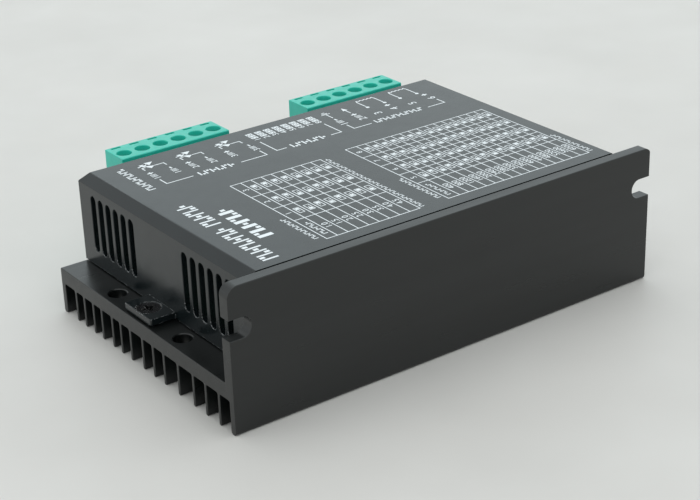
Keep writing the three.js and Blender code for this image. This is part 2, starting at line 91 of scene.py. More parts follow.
GAP = 0.3               # between the sink and the cover
SHEET = 1.6             # the cover's thickness
SINK = limits("heatsink_base")
COVER = limits("cover")
LENGTH, WIDTH, HEIGHT = (pair[1] for pair in SINK)
BASE_TOP = COVER[Z][0] - GAP
SIDE_PLATE = COVER[Y][0] - GAP
SIDES = ("signal", "power")
POLES = range(1, 7)
SWITCHES = range(1, 9)
TAB_TOP = COVER[Z][0] + SHEET
END_CENTRE = middle(limits("cover_screw_left")[Y])

# ---- typed sizes: some the CAD also has, the finer ones for the looks alone ----

SMOOTH_ANGLE = 38       # degrees; sharper edges stay creased
BEVEL_ANGLE = 40        # degrees; sharper edges of a kept CAD node are eased
WELD = 2e-6             # metres

FIN_TIP = 0.42                  # edge radii of the extrusion
END_FIN_TIP = 0.6
FIN_ROOT = 0.45
THIN_FIN = 1.2                  # a fin this thick or thicker gets the larger tip
STANDING_EDGE = 0.8             # the foot of the side plate's outer face
PLATE_CORNERS = (2.6, 1.6)      # radii of the side plate's two top corners
NOTCH_FLARE = 0.12
TAPPED_RADIUS = 1.7
PLAIN_RADIUS = 2.2
PLAIN_REACH = 14.3              # from the cover screw's line, along Y

END_WALL = 7                    # from each end of the sink to the cover's end wall
CHAMFER = 2.2
BEND = 0.5
TAB_REACH = (0.7, 7.8)          # from the sink's end
TAB_WIDTH = 11.6
TAB_CORNER = 0.5
VENTS = 6                       # on each side of the cover screw's line, in each end wall
VENT_FIRST = 11.5               # from that line to the nearest vents
VENT_STEP = 3.5
VENT_HEIGHTS = (15.7, 29.8)
VENT_RADIUS = 1.15
SINK_THROAT = 1.8               # the countersink's smaller radius
SINK_DEPTH = 1.3
SINK_GROWTH = 1.2
WINDOW_PLAY = 0.4               # round the parts that show through the cover
LAMP_HEIGHT = 21
LAMP_RADIUS = 1.5
LAMP_BACK = 71.6

PLUG_DEPTH = 8.7
INSERT_RISE = (1.3, 9.5)        # these rises are heights above the plug's foot
WELL_RADIUS = 1.87
WELL_FLOOR = 11.5
POCKET = (4.3, 4.6)
POCKET_RISE = (1.7, 11)
SLIT_WIDTH = 2.5
SLIT_BACK = (1.4, 0.6)          # from the plug's front
SLIT_DEPTH = 1.8
MOUTH_WIDTH = 3.8
MOUTH_RISE = (2.3, 6.4)
MOUTH_TAPER = 0.35
SOCKET = 1.7
GROOVE_WIDTH = 0.4
GROOVE_DEPTH = 0.25
BAR_WIDTH = 2.2
BAR_RISE = (6, 6.7)
LEAF = (0.58, 0.8)              # a contact leaf's two sides, from the pole's middle
LEAF_HEIGHTS = (22.0, 23.2)

HEADER_BACK = 69.2
HEADER_FOOT = 17.0
HEADER_WALL = 1.2
HEADER_BLOCK = 3                # thickness of the header's solid back
PIN_WIDTH = 1.0
PIN_HEIGHTS = (22.1, 23.1)
PIN_PLAY = 0.02
PIN_REACH = (67.3, 77.5)
PIN_FOOT = 14.1
WIRE_SCREW_RADIUS = 1.7
SLOT_WIDTH = 0.6
SLOT_DEPTH = 0.8

SWITCH_SLOT = (1.6, 2.4)        # width and depth
SWITCH_HEIGHTS = (19.8, 24)
DIGIT_HEIGHT = 25.2
DIGIT_SIZE = 1.5


# ---- outlines and solids ----


def rounded(corners, radius=0.0, steps=3):
    """An outline with its corners rounded. A corner may bring its own radius as a third number."""
    points = []
    for i, corner in enumerate(corners):
        here = Vector(corner[:2])
        size = corner[2] if len(corner) > 2 else radius
        back = (Vector(corners[i - 1][:2]) - here).normalized()
        ahead = (Vector(corners[(i + 1) % len(corners)][:2]) - here).normalized()
        if size <= 0:
            points.append(here)
            continue
        half = back.angle(ahead) / 2
        reach = size / math.tan(half)
        centre = here + (back + ahead).normalized() * (size / math.sin(half))
        first = here + back * reach - centre
        turn = first.angle_signed(here + ahead * reach - centre)
        for step in range(steps + 1):
            angle = -turn * step / steps
            points.append(centre + Matrix.Rotation(angle, 2) @ first)
    return points


def oblong(a, b, radius=0.0, steps=3):
    return rounded([(a[0], b[0]), (a[1], b[0]), (a[1], b[1]), (a[0], b[1])], radius, steps)


def disc(a, b, radius, count=40):
    turns = (math.tau * i / count for i in range(count))
    return [Vector((a + radius * math.cos(t), b + radius * math.sin(t))) for t in turns]


def stadium(a, b, radius, steps=8):
    """A slot outline with round ends: a is its middle line, b its (low, high) limits."""
    points = []
    for sign, at in ((-1, b[0] + radius), (1, b[1] - radius)):
        for step in range(steps + 1):
            turn = math.pi * step / steps + (math.pi if sign < 0 else 0)
            points.append(Vector((a + radius * math.cos(turn), at + radius * math.sin(turn))))
    return points


def counter_clockwise(points):
    area = sum(points[i - 1][0] * p[1] - p[0] * points[i - 1][1] for i, p in enumerate(points))
    return [Vector(p) for p in (points if area > 0 else reversed(points))]


def grown(points, amount):
    """A counter-clockwise outline moved outwards, with mitred corners."""
    out = []
    for i, here in enumerate(points):
        into = (here - points[i - 1]).normalized()
        away = (points[(i + 1) % len(points)] - here).normalized()
        sides = Vector((into.y, -into.x)), Vector((away.y, -away.x))
        out.append(here + (sides[0] + sides[1]) * (amount / (1 + sides[0].dot(sides[1]))))
    return out


def lofted(axis, outline, stations):
    """Vertices and faces of an outline carried along an axis through (position, growth) stations."""
    across = [k for k in range(3) if k != axis]
    outline = counter_clockwise(outline)
    count = len(outline)
    verts = []
    for at, growth in stations:
        for point in grown(outline, growth) if growth else outline:
            vert = [0.0, 0.0, 0.0]
            vert[axis], vert[across[0]], vert[across[1]] = at, point[0], point[1]
            verts.append(vert)
    last = (len(stations) - 1) * count
    faces = [list(range(count))[::-1], [last + i for i in range(count)]]
    for ring in range(len(stations) - 1):
        for i in range(count):
            j = (i + 1) % count
            low, high = ring * count, (ring + 1) * count
            faces.append([low + i, low + j, high + j, high + i])
    if axis == Y:
        faces = [face[::-1] for face in faces]
    return verts, faces


def eased(low, high, ease):
    """Stations of a solid from low to high whose end edges are rounded."""
    shoulder = ease * (1 - math.sqrt(0.5))
    return [
        (low, -ease),
        (low + shoulder, -shoulder),
        (low + ease, 0),
        (high - ease, 0),
        (high - shoulder, -shoulder),
        (high, -ease),
    ]


def flared(low, high, flare):
    """Stations of a cutting tool from low to high that opens out at both faces it cuts."""
    past = 1.0
    entry = [(low - past, flare), (low, flare), (low + flare, 0)]
    return entry + [(high - flare, 0), (high, flare), (high + past, flare)]


def made(name, verts, faces):
    mesh = bpy.data.meshes.new(name)
    mesh.from_pydata([ORIGIN + Vector(v) * MM for v in verts], [], faces)
    obj = bpy.data.objects.new(name, mesh)
    scene.collection.objects.link(obj)
    return obj


def loft(name, axis, outline, stations):
    return made(name, *lofted(axis, outline, stations))


def block(name, x, y, z, corner=0.2, ease=0.15):
    """A box with rounded edges."""
    return loft(name, Z, oblong(x, y, corner), eased(z[0], z[1], ease))


def gathered(name, parts):
    """One mesh of several separate closed bodies."""
    verts, faces = [], []
    for part_verts, part_faces in parts:
        faces += [[i + len(verts) for i in face] for face in part_faces]
        verts += part_verts
    return made(name, verts, faces)


def combined(obj, tools, operation="DIFFERENCE"):
    """Applies a Boolean with each tool, removes the tools and splits the many-sided faces left."""
    for tool in tools:
        step = obj.modifiers.new("step", "BOOLEAN")
        step.operation = operation
        step.solver = "MANIFOLD"
        step.object = tool
    graph = bpy.context.evaluated_depsgraph_get()
    mesh = bpy.data.meshes.new_from_object(obj.evaluated_get(graph), depsgraph=graph)
    obj.modifiers.clear()
    obj.data = mesh
    for tool in tools:
        bpy.data.objects.remove(tool)
    work = bmesh.new()
    work.from_mesh(mesh)
    bmesh.ops.remove_doubles(work, verts=work.verts, dist=WELD)
    bmesh.ops.dissolve_degenerate(work, edges=work.edges, dist=WELD)
    bmesh.ops.triangulate(work, faces=[face for face in work.faces if len(face.verts) > 4])
    work.to_mesh(mesh)
    work.free()
    return obj


def shaded(obj):
    """Smooth shading with sharp edges kept, and corner normals weighted by face area."""
    limit = math.radians(SMOOTH_ANGLE)
    work = bmesh.new()
    work.from_mesh(obj.data)
    for face in work.faces:
        face.smooth = True
    for edge in work.edges:
        edge.smooth = len(edge.link_faces) == 2 and edge.calc_face_angle(0) < limit
    work.to_mesh(obj.data)
    work.free()
    weight = obj.modifiers.new("weight", "WEIGHTED_NORMAL")
    weight.keep_sharp = True
    return obj


def finished(obj, material, body="root", stands_for=()):
    """Gives a piece its material, shading and body, and hides the CAD nodes it stands for."""
    obj.data.materials.clear()
    obj.data.materials.append(FINISHES[material])
    shaded(obj)
    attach(obj, body)
    if stands_for:
        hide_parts(*stands_for)
    return obj


def carried(node, material, ease=0.12):
    """A CAD node that stays, with eased edges and a finish."""
    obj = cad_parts[node]
    obj.data.materials.clear()
    obj.data.materials.append(FINISHES[material])
    weld = obj.modifiers.new("weld", "WELD")
    weld.merge_threshold = WELD / 2
    soften = obj.modifiers.new("soften", "BEVEL")
    soften.width = ease * MM
    soften.segments = 2
    soften.limit_method = "ANGLE"
    soften.angle_limit = math.radians(BEVEL_ANGLE)
    weight = obj.modifiers.new("weight", "WEIGHTED_NORMAL")
    weight.keep_sharp = True
    return obj


# ---- finishes ----


def finish(name, dark, light, rough, metallic=0.0, patch=6.0, grain=(1, 1, 1), bump=0.03,
           bump_size=0.25, wear_and_highlight=None, wear_and_highlight_width=0.18, wear_and_highlight_amount=0.5, painted_glints_below=None, coat=0.0,
           ior=1.5, subsurface=0.0):
    """A procedural finish: colour and roughness wander over patches, a fine bump, and lightened edges, as
    wear and, on the screw, painted highlight.

    A pair of heights, where given, paints light flecks on the edges below them: painted glints, standing
    for light caught on cut edges.
    """
    material = bpy.data.materials.new(name)
    material.use_nodes = True
    nodes, links = material.node_tree.nodes, material.node_tree.links
    shader = nodes["Principled BSDF"]
    shader.inputs["Metallic"].default_value = metallic
    shader.inputs["Coat Weight"].default_value = coat
    shader.inputs["Specular IOR Level"].default_value = 0.5
    shader.inputs["IOR"].default_value = ior
    if subsurface:
        shader.inputs["Subsurface Weight"].default_value = subsurface
        shader.inputs["Subsurface Radius"].default_value = (0.4, 1.0, 0.7)
        shader.inputs["Subsurface Scale"].default_value = 0.6 * MM
    place = nodes.new("ShaderNodeTexCoord")

    def noise(size, detail, stretch=(1, 1, 1)):
        scale = nodes.new("ShaderNodeMapping")
        scale.inputs["Scale"].default_value = [1 / (size * MM * s) for s in stretch]
        links.new(place.outputs["Object"], scale.inputs["Vector"])
        made_noise = nodes.new("ShaderNodeTexNoise")
        made_noise.inputs["Scale"].default_value = 1
        made_noise.inputs["Detail"].default_value = detail
        links.new(scale.outputs[0], made_noise.inputs["Vector"])
        return made_noise.outputs["Fac"]

    def ranged(source, low, high, from_low=0.3, from_high=0.7):
        node = nodes.new("ShaderNodeMapRange")
        keys = ("From Min", "From Max", "To Min", "To Max")
        for key, value in zip(keys, (from_low, from_high, low, high)):
            node.inputs[key].default_value = value
        links.new(source, node.inputs["Value"])
        return node.outputs[0]

    def mixed(factor, first, second):
        node = nodes.new("ShaderNodeMix")
        node.data_type = "RGBA"
        links.new(factor, node.inputs[0])
        for socket, value in ((node.inputs[6], first), (node.inputs[7], second)):
            if isinstance(value, bpy.types.NodeSocket):
                links.new(value, socket)
            else:
                socket.default_value = (*value, 1)
        return node.outputs[2]

    def product(first, second):
        node = nodes.new("ShaderNodeMath")
        node.operation = "MULTIPLY"
        links.new(first, node.inputs[0])
        links.new(second, node.inputs[1])
        return node.outputs[0]

    broad = noise(patch, 4, grain)
    colour = mixed(ranged(broad, 0, 1), dark, light)
    roughness = ranged(noise(patch / 3, 5, grain), rough[0], rough[1])
    if wear_and_highlight:
        edge = nodes.new("ShaderNodeBevel")
        edge.samples = 4
        edge.inputs["Radius"].default_value = wear_and_highlight_width * MM
        flat = nodes.new("ShaderNodeNewGeometry")
        along = nodes.new("ShaderNodeVectorMath")
        along.operation = "DOT_PRODUCT"
        links.new(edge.outputs[0], along.inputs[0])
        links.new(flat.outputs["Normal"], along.inputs[1])
        exposed = ranged(along.outputs["Value"], 1, 0, 0.86, 0.99)
        scuffs_and_highlights = ranged(noise(1.4, 6), 0, wear_and_highlight_amount, 0.45, 0.62)
        # Edges lightened by this colour: wear, and on the screw also painted highlight, the bright rims of
        # its head and recess.
        colour = mixed(product(exposed, scuffs_and_highlights), colour, wear_and_highlight)
        # Painted glints: light flecks put into the colour on low edges, where light catches the cut edges.
        if painted_glints_below:
            parts = nodes.new("ShaderNodeSeparateXYZ")
            links.new(place.outputs["Object"], parts.inputs[0])
            low, high = (height * MM for height in painted_glints_below)
            painted_glints = product(exposed, ranged(noise(0.5, 3), 0, 1, 0.49, 0.54))
            painted_glints = product(ranged(parts.outputs["Z"], 1, 0, low, high), painted_glints)
            colour = mixed(painted_glints, colour, (0.62, 0.63, 0.64))
    links.new(colour, shader.inputs["Base Color"])
    links.new(roughness, shader.inputs["Roughness"])
    ripple = nodes.new("ShaderNodeBump")
    ripple.inputs["Strength"].default_value = 1
    ripple.inputs["Distance"].default_value = bump * MM
    links.new(noise(bump_size, 3, grain), ripple.inputs["Height"])
    links.new(ripple.outputs[0], shader.inputs["Normal"])
    return material


FINISHES = {
    "anodised_sink": finish(
        "anodised_sink", (0.0035, 0.0046, 0.0045), (0.0062, 0.0076, 0.0075), (0.27, 0.36), patch=5,
        grain=(14, 1, 1), bump=0.005, bump_size=0.35, wear_and_highlight=(0.15, 0.155, 0.155), wear_and_highlight_width=0.10,
        wear_and_highlight_amount=0.45, ior=1.52),
    # The light flecks low on the vent slots are painted glints, where light catches the slots' cut edges.
    "black_cover": finish(
        "black_cover", (0.0055, 0.0085, 0.0095), (0.0085, 0.0120, 0.0132), (0.20, 0.26), patch=9,
        bump=0.005, bump_size=0.45, wear_and_highlight=(0.13, 0.14, 0.15), wear_and_highlight_width=0.12, wear_and_highlight_amount=0.3,
        painted_glints_below=(17.2, 18.0)),
    # Its bright edges are partly wear and partly painted highlight: the light crescents on the head's rim
    # and in its recess.
    "black_screw": finish(
        "black_screw", (0.010, 0.010, 0.011), (0.028, 0.028, 0.030), (0.20, 0.34), metallic=0.6, patch=1.2,
        bump=0.012, bump_size=0.2, wear_and_highlight=(0.62, 0.61, 0.59), wear_and_highlight_width=0.16, wear_and_highlight_amount=2.5),
    "zinc_steel": finish(
        "zinc_steel", (0.50, 0.52, 0.55), (0.68, 0.69, 0.70), (0.24, 0.42), metallic=1.0, patch=1.5,
        bump=0.008, bump_size=0.2),
    "nylon": finish(
        "nylon", (0.70, 0.68, 0.60), (0.80, 0.78, 0.71), (0.45, 0.60), patch=3, bump=0.01,
        subsurface=0.15),
    "board_laminate": finish(
        "board_laminate", (0.008, 0.085, 0.030), (0.016, 0.13, 0.045), (0.22, 0.40), patch=1.6, bump=0.03,
        bump_size=0.8),
    "terminal_green": finish(
        "terminal_green", (0.018, 0.50, 0.39), (0.030, 0.55, 0.43), (0.28, 0.38), patch=4, bump=0.012,
        bump_size=0.18, wear_and_highlight=(0.20, 0.68, 0.56), wear_and_highlight_width=0.16, wear_and_highlight_amount=0.5, subsurface=0.12),
    "switch_red": finish(
        "switch_red", (0.38, 0.012, 0.012), (0.50, 0.022, 0.018), (0.25, 0.36), patch=3, bump=0.006),
    "switch_white": finish(
        "switch_white", (0.74, 0.73, 0.69), (0.84, 0.83, 0.80), (0.32, 0.45), patch=1.5, bump=0.006,
        subsurface=0.1),
    "lamp_lens": finish(
        "lamp_lens", (0.05, 0.34, 0.07), (0.10, 0.50, 0.13), (0.10, 0.18), patch=2, bump=0.003, coat=0.4),
    "capacitor_sleeve": finish(
        "capacitor_sleeve", (0.010, 0.010, 0.018), (0.020, 0.021, 0.038), (0.22, 0.34), patch=4,
        grain=(5, 1, 1), bump=0.015, bump_size=0.6, coat=0.2),
    "chip_epoxy": finish(
        "chip_epoxy", (0.014, 0.014, 0.015), (0.026, 0.026, 0.028), (0.50, 0.66), patch=1.5, bump=0.012,
        bump_size=0.12),
    "silicone_pad": finish(
        "silicone_pad", (0.26, 0.30, 0.34), (0.34, 0.38, 0.42), (0.62, 0.80), patch=2.5, bump=0.03,
        bump_size=0.5),
    "white_print": finish(
        "white_print", (0.80, 0.86, 0.89), (0.87, 0.92, 0.95), (0.45, 0.60), patch=1.2, bump=0.004,
        bump_size=0.1),
    "tinned_contact": finish(
        "tinned_contact", (0.56, 0.55, 0.50), (0.72, 0.71, 0.66), (0.22, 0.40), metallic=1.0, patch=1.0,
        bump=0.006, bump_size=0.15),
}


# ---- heat sink ----


def fin_roof():
    """The height of the channels' roofs."""
    return levels("heatsink_base", Z, lambda at: 1 < at.z < BASE_TOP - 1)[0]


def sink_outline():
    """The extrusion's section, with the fins where the CAD has them."""
    edges = levels("heatsink_base", Y, lambda at: at.z < 0.01)
    roof = fin_roof()
    fins = list(zip(edges[::2], edges[1::2]))
    corners = []
    for i, (low, high) in enumerate(fins):
        tip = FIN_TIP if high - low < THIN_FIN else END_FIN_TIP
        if i:
            corners += [(low, roof, FIN_ROOT), (low, 0, tip)]
        else:
            corners.append((low, 0, STANDING_EDGE))
        corners.append((high, 0, tip))
        if i < len(fins) - 1:
            corners.append((high, roof, FIN_ROOT))
    corners += [
        (WIDTH, BASE_TOP, 0.5),
        (SIDE_PLATE, BASE_TOP, 0.3),
        (SIDE_PLATE, HEIGHT, 0.3),
        (0, HEIGHT, 0.3),
    ]
    return rounded(corners)


def corner_waste(end, inward, radius):
    """What is taken off a top corner of the side plate."""
    past = end - inward * 2
    arc = []
    for step in range(9):
        turn = math.pi / 2 * step / 8
        x = end + inward * radius * (1 - math.cos(turn))
        arc.append((x, HEIGHT - radius * (1 - math.sin(turn))))
    outline = arc + [(arc[-1][0], HEIGHT + 1), (past, HEIGHT + 1), (past, arc[0][1])]
    return loft("waste", Y, outline, [(-1, 0), (SIDE_PLATE + 1, 0)])


def notch_tool(end, inward):
    """An open-ended mounting slot, slightly flared at both faces."""
    heights = levels("heatsink_base", Z, lambda at: BASE_TOP + 5 < at.z < HEIGHT - 5)
    low, high = heights[0], heights[-1]
    radius = (high - low) / 2
    inside = levels("heatsink_base", X, lambda at: low - 0.1 < at.z < high + 0.1)
    if inward > 0:
        tip = max(x for x in inside if x < LENGTH / 2)
    else:
        tip = min(x for x in inside if x > LENGTH / 2)
    centre = tip - inward * radius
    bow = []
    for step in range(17):
        turn = math.pi * (step / 16 - 0.5)
        x = centre + inward * radius * math.cos(turn)
        bow.append((x, (low + high) / 2 + radius * math.sin(turn)))
    outline = bow + [(end - inward * 2, high), (end - inward * 2, low)]
    return loft("notch", Y, outline, flared(0, SIDE_PLATE, NOTCH_FLARE))


def build_sink():
    roof = fin_roof()
    sink = loft("heat_sink", X, sink_outline(), eased(0, LENGTH, 0.16))
    ends = ((0, 1), (LENGTH, -1))
    tools = [corner_waste(*end, radius) for end, radius in zip(ends, PLATE_CORNERS)]
    tools += [notch_tool(*end) for end in ends]
    for screw in ("cover_screw_left", "cover_screw_right"):
        x = middle(limits(screw)[X])
        tapped = disc(x, END_CENTRE, TAPPED_RADIUS, 32)
        tools.append(loft("hole", Z, tapped, flared(roof, BASE_TOP, 0.12)))
        for side in (-1, 1):
            plain = disc(x, END_CENTRE + side * PLAIN_REACH, PLAIN_RADIUS)
            tools.append(loft("hole", Z, plain, flared(roof, BASE_TOP, 0.2)))
    for i in range(1, 5):
        at = limits(f"board_screw_{i}")
        tapped = disc(middle(at[X]), middle(at[Y]), TAPPED_RADIUS, 32)
        tools.append(loft("hole", Z, tapped, flared(roof, BASE_TOP, 0.1)))
    combined(sink, tools)
    return finished(sink, "anodised_sink", stands_for=["heatsink_base"])


# ---- cover ----


def cover_form(name, inset, extra):
    """The folded cover's outer form, or its inside when inset; extra lengthens its open sides."""
    left, right = END_WALL + inset, LENGTH - END_WALL - inset
    front, top, back = WIDTH - inset, HEIGHT - inset, COVER[Y][0] - extra
    bottom = COVER[Z][0] - extra
    fold = top - CHAMFER
    bend = max(BEND - inset / 4, 0.15)
    ends = rounded([
        (left, bottom), (right, bottom), (right, fold, bend), (right - CHAMFER, top, bend),
        (left + CHAMFER, top, bend), (left, fold, bend)])
    side = rounded([
        (back, bottom), (front, bottom), (front, fold, bend), (front - CHAMFER, top, bend), (back, top)])
    form = loft(name, Y, ends, [(back, 0), (front, 0)])
    return combined(form, [loft("side", X, side, [(left, 0), (right, 0)])], "INTERSECT")


def tab(end, inward):
    """A screw tab that runs into the end wall, with its two outer corners rounded."""
    tip = end + inward * TAB_REACH[0]
    left, right = sorted((tip, end + inward * TAB_REACH[1]))
    near, far = around(END_CENTRE, TAB_WIDTH)
    outline = [(left, near), (right, near), (right, far), (left, far)]
    shaped = [(x, y, TAB_CORNER if x == tip else 0) for x, y in outline]
    return loft("tab", Z, rounded(shaped, steps=5), eased(COVER[Z][0], TAB_TOP, 0.2))


def window_tool(node):
    """The cover's window round a board part, from just under the board's top face."""
    at = limits(node)
    across = (at[X][0] - WINDOW_PLAY, at[X][1] + WINDOW_PLAY)
    heights = (limits("main_board")[Z][1] - WINDOW_PLAY, at[Z][1] + WINDOW_PLAY)
    outline = oblong(across, heights, 0.5, 4)
    return loft("window", Y, outline, flared(WIDTH - SHEET, WIDTH, 0.15))


def build_cover():
    cover = combined(cover_form("cover_shell", 0, 0), [cover_form("inside", SHEET, 1)])
    combined(cover, [tab(0, 1), tab(LENGTH, -1)], "UNION")
    tools = []
    for wall in ((END_WALL, END_WALL + SHEET), (LENGTH - END_WALL - SHEET, LENGTH - END_WALL)):
        for i in range(VENTS):
            for side in (-1, 1):
                y = END_CENTRE + side * (VENT_FIRST + VENT_STEP * i)
                vent = stadium(y, VENT_HEIGHTS, VENT_RADIUS)
                tools.append(loft("slot", X, vent, flared(*wall, 0.12)))
    for screw in ("cover_screw_left", "cover_screw_right"):
        at = limits(screw)
        tools.append(loft("countersink", Z, disc(middle(at[X]), middle(at[Y]), SINK_THROAT, 48), [
            (COVER[Z][0] - 1, 0),
            (TAB_TOP - SINK_DEPTH, 0),
            (TAB_TOP, SINK_GROWTH),
            (TAB_TOP + 1, SINK_GROWTH),
        ]))
    tools += [window_tool(node) for node in ("signal_header", "power_header", "dip_switch_body")]
    lamp_hole = disc(middle(limits("status_lamp")[X]), LAMP_HEIGHT, LAMP_RADIUS + 0.3)
    tools.append(loft("lamp", Y, lamp_hole, flared(WIDTH - SHEET, WIDTH, 0.15)))
    combined(cover, tools)
    return finished(cover, "black_cover", stands_for=["cover"])


def cross_tools(x, y, top, depth, arm, width):
    """The two crossed wedges of a screw's recess."""
    tools = []
    for across, along in ((arm, width), (width, arm)):
        tools.append(loft("recess", Z, oblong(around(x, across), around(y, along), 0.12), [
            (top - depth, -0.16), (top, 0.06), (top + 1, 0.06)]))
    return tools


def build_cover_screw(side):
    node = f"cover_screw_{side}"
    at = limits(node)
    x, y = middle(at[X]), middle(at[Y])
    low, top = at[Z]
    radius = (at[X][1] - at[X][0]) / 2
    shank = -1.35
    screw = loft(f"{node}_m3", Z, disc(x, y, radius, 48), [
        (low, shank - 0.35), (low + 0.3, shank), (top - 1.5, shank),
        (top - 0.12, 0), (top - 0.02, 0), (top, -0.12)])
    combined(screw, cross_tools(x, y, top, depth=1.1, arm=3.1, width=0.75))
    return finished(screw, "black_screw", stands_for=[node])


# ---- terminal blocks ----


def poles(side):
    return [limits(f"{side}_screw_{i}") for i in POLES]


def build_plug(side):
    node = f"{side}_plug"
    at = limits(node)
    header = limits(f"{side}_header")
    screws = poles(side)
    wire_y = middle(screws[0][Y])
    low, top = at[Z]
    hidden, front = at[Y]
    back = front - PLUG_DEPTH
    seat = header[Y][1]
    walls = [middle((middle(a[X]), middle(b[X]))) for a, b in zip(screws, screws[1:])]
    ends = eased(*at[X], 0.22)
    # Stations between the poles keep each face to one pole, which keeps the Booleans clean.
    between = [(middle((a[X][0], b[X][1])), 0) for a, b in zip(screws, screws[1:])]
    plug = loft(f"{side}_plug_housing", X, rounded([
        (back, low, 0.3), (front, low, 0.5), (front, top, 0.35), (back, top, 0.3)]),
        ends[:3] + between + ends[3:])
    foot, roof = (low + rise for rise in INSERT_RISE)
    insert = loft("insert", X, rounded([
        (hidden, foot, 0.4), (back + 1, foot), (back + 1, roof), (hidden, roof, 0.4)]),
        eased(*at[X], 0.2))
    combined(plug, [insert], "UNION")
    tools = []
    for screw in screws:
        x = middle(screw[X])
        floor = low + WELL_FLOOR
        tools.append(loft("well", Z, disc(x, wire_y, WELL_RADIUS, 40), [
            (floor - 0.7, -0.22), (floor, -0.22), (floor, 0),
            (top - 0.15, 0), (top, 0.15), (top + 1, 0.15)]))
        pocket = oblong(around(x, POCKET[0]), around(wire_y, POCKET[1]), 0.3)
        tools.append(loft("pocket", Z, pocket, [(low + rise, 0) for rise in POCKET_RISE]))
        slit = oblong(around(x, SLIT_WIDTH), [front - inset for inset in SLIT_BACK], 0.15)
        tools.append(loft("slit", Z, slit, [
            (top - SLIT_DEPTH, 0), (top - 0.08, 0), (top, 0.08), (top + 1, 0.08)]))
        mouth = oblong(around(x, MOUTH_WIDTH), [low + rise for rise in MOUTH_RISE], 0.5, 4)
        tools.append(loft("mouth", Y, mouth, [
            (wire_y + 2, -MOUTH_TAPER), (front - 1.2, -MOUTH_TAPER), (front, 0), (front + 1, 0)]))
        socket = oblong(around(x, SOCKET), around(middle(PIN_HEIGHTS), SOCKET), 0.15)
        tools.append(loft("socket", Y, socket, [
            (hidden - 1, 0.3), (hidden, 0.3), (hidden + 0.3, 0), (seat - 1.1, 0)]))
    for x in walls:
        groove = oblong(around(x, GROOVE_WIDTH), (front - GROOVE_DEPTH, front + 1), 0)
        tools.append(loft("groove", Z, groove, [(low - 1, 0), (top - 2.4, 0)]))
    combined(plug, tools)
    finished(plug, "terminal_green", node, [node])
    parts = []
    for screw in screws:
        x = middle(screw[X])
        bar = oblong(around(x, BAR_WIDTH), (wire_y - 2.28, wire_y + 1.9), 0.15)
        parts.append(lofted(Z, bar, eased(*(low + rise for rise in BAR_RISE), 0.08)))
        blade = oblong((hidden + 0.4, seat - 1.3), LEAF_HEIGHTS, 0.2)
        for sign in (-1, 1):
            leaf = sorted(x + sign * reach for reach in LEAF)
            parts.append(lofted(X, blade, eased(*leaf, 0.05)))
    finished(gathered(f"{side}_plug_contacts", parts), "tinned_contact", node)


def build_header(side):
    node = f"{side}_header"
    at = limits(node)
    back, front = HEADER_BACK, at[Y][1]
    block_face = back + HEADER_BLOCK
    low, top = HEADER_FOOT, at[Z][1]
    floor, roof = low + HEADER_WALL, top - HEADER_WALL
    housing = loft(f"{side}_header_housing", X, rounded([
        (back, low, 0.3), (front, low, 0.15), (front, floor, 0.15), (block_face, floor, 0.2),
        (block_face, roof, 0.2), (front, roof, 0.15), (front, top, 0.15), (back, top, 0.3)]),
        eased(*at[X], 0.15))
    under, over = PIN_HEIGHTS
    tail, point = PIN_REACH
    bend = tail + PIN_WIDTH
    holes, pins = [], []
    for screw in poles(side):
        x = middle(screw[X])
        hole = oblong(around(x, PIN_WIDTH + 2 * PIN_PLAY), (under - PIN_PLAY, over + PIN_PLAY))
        holes.append(loft("hole", Y, hole, [(back - 1, 0), (block_face + 1, 0)]))
        bent = rounded([
            (tail, PIN_FOOT, 0.2), (bend, PIN_FOOT, 0.2), (bend, under, 0.3), (point, under, 0.3),
            (point, over, 0.3), (tail, over, 0.9)])
        pins.append(lofted(X, bent, eased(*around(x, PIN_WIDTH), 0.1)))
    combined(housing, holes)
    finished(housing, "terminal_green", stands_for=[node])
    finished(gathered(f"{side}_header_pins", pins), "tinned_contact")


def build_wire_screw(side, i):
    node = f"{side}_screw_{i}"
    at = limits(node)
    x, y = middle(at[X]), middle(at[Y])
    low, top = at[Z]
    shank, head = -0.3, top - 1.6
    screw = loft(f"{node}_m3", Z, disc(x, y, WIRE_SCREW_RADIUS, 40), [
        (low, 2 * shank), (low + 0.3, shank), (head, shank), (head, -0.08), (head + 0.08, 0),
        (top - 0.2, 0), (top - 0.06, -0.06), (top, -0.22)])
    slot = oblong((x - 3, x + 3), around(y, SLOT_WIDTH))
    combined(screw, [loft("slot", Z, slot, [(top - SLOT_DEPTH, 0), (top + 1, 0)])])
    finished(screw, "zinc_steel", node, [node])


# ---- switch bank and lamp ----


def build_switch():
    node = "dip_switch_body"
    at = limits(node)
    front = at[Y][1]
    body = loft("dip_switch_housing", Y, oblong(at[X], at[Z], 0.25), eased(*at[Y], 0.15))
    centres = [middle(limits(f"dip_slider_{i}")[X]) for i in SWITCHES]
    width, depth = SWITCH_SLOT
    tools = []
    for x in centres:
        tools.append(loft("slot", Y, oblong(around(x, width), SWITCH_HEIGHTS, 0.15), [
            (front - depth, 0), (front - 0.1, 0), (front, 0.1), (front + 1, 0.1)]))
    combined(body, tools)
    finished(body, "switch_red", stands_for=[node])
    parts = []
    for i, x in zip(SWITCHES, centres):
        parts.append(lettered(
            str(i), DIGIT_SIZE, lambda u, v, w, x=x: (x - u, front + w, DIGIT_HEIGHT + v)))
    finished(gathered("dip_switch_digits", parts), "white_print")


